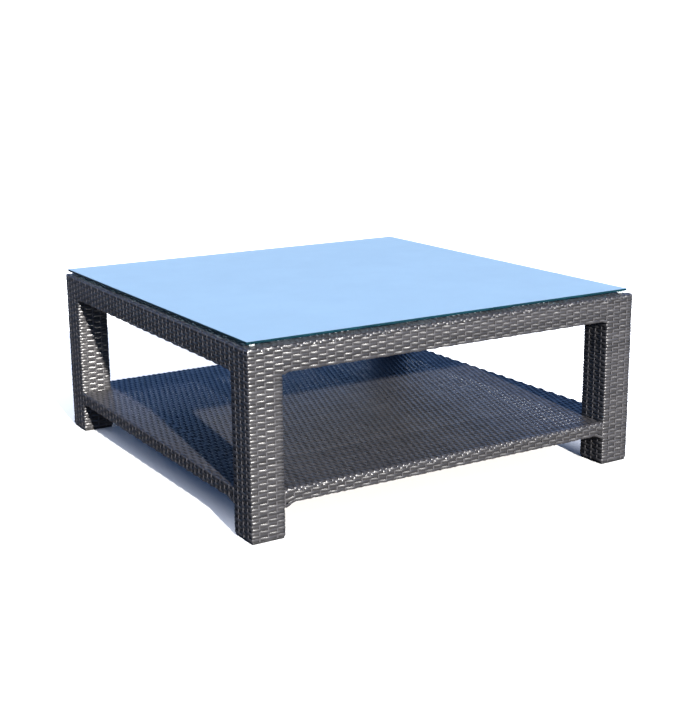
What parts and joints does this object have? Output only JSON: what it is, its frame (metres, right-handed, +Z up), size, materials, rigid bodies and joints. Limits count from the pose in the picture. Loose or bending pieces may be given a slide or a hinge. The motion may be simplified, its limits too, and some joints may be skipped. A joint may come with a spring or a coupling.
{
  "type": "wicker coffee table",
  "caption": "Square low garden table: woven wicker over a tube frame, a low woven shelf and a loose glass sheet resting on clear bumpers.",
  "frame": {"origin": "on the floor, under the middle of the table", "axes": "+Z up; the front apron faces -Y and the left apron faces -X"},
  "size_m": [1, 1, 0.411],
  "materials": {
    "wicker": "woven synthetic wicker, dark grey brown with a slight sheen",
    "coated_aluminium": "dark powder coat",
    "black_plastic": "moulded, fine grain",
    "clear_bumper": "clear soft silicone",
    "glass": "toughened glass with a pale blue cast and ground edges"
  },
  "bodies": {
    "table_frame": {"leg_post_front_left": "coated_aluminium", "foot_cap_front_left": "black_plastic", "leg_wicker_front_left": "wicker", "glass_bumper_front_left": "clear_bumper", "leg_post_front_right": "coated_aluminium", "foot_cap_front_right": "black_plastic", "leg_wicker_front_right": "wicker", "glass_bumper_front_right": "clear_bumper", "leg_post_back_right": "coated_aluminium", "foot_cap_back_right": "black_plastic", "leg_wicker_back_right": "wicker", "glass_bumper_back_right": "clear_bumper", "leg_post_back_left": "coated_aluminium", "foot_cap_back_left": "black_plastic", "leg_wicker_back_left": "wicker", "glass_bumper_back_left": "clear_bumper", "top_rail_front": "coated_aluminium", "shelf_rail_front": "coated_aluminium", "apron_wicker_front": "wicker", "shelf_edge_wicker_front": "wicker", "top_rail_right": "coated_aluminium", "shelf_rail_right": "coated_aluminium", "apron_wicker_right": "wicker", "shelf_edge_wicker_right": "wicker", "top_rail_back": "coated_aluminium", "shelf_rail_back": "coated_aluminium", "apron_wicker_back": "wicker", "shelf_edge_wicker_back": "wicker", "top_rail_left": "coated_aluminium", "shelf_rail_left": "coated_aluminium", "apron_wicker_left": "wicker", "shelf_edge_wicker_left": "wicker", "top_cross_bar_left": "coated_aluminium", "shelf_cross_bar_left": "coated_aluminium", "top_cross_bar_right": "coated_aluminium", "shelf_cross_bar_right": "coated_aluminium", "top_weave_panel": "wicker", "shelf_weave_panel": "wicker"},
    "glass_sheet": {"glass_top": "glass"}
  },
  "joints": [
    {"name": "glass_lift", "type": "slide", "parent": "table_frame", "child": "glass_sheet", "axis": [0, 0, 1], "range_m": [0, 0.15]}
  ]
}
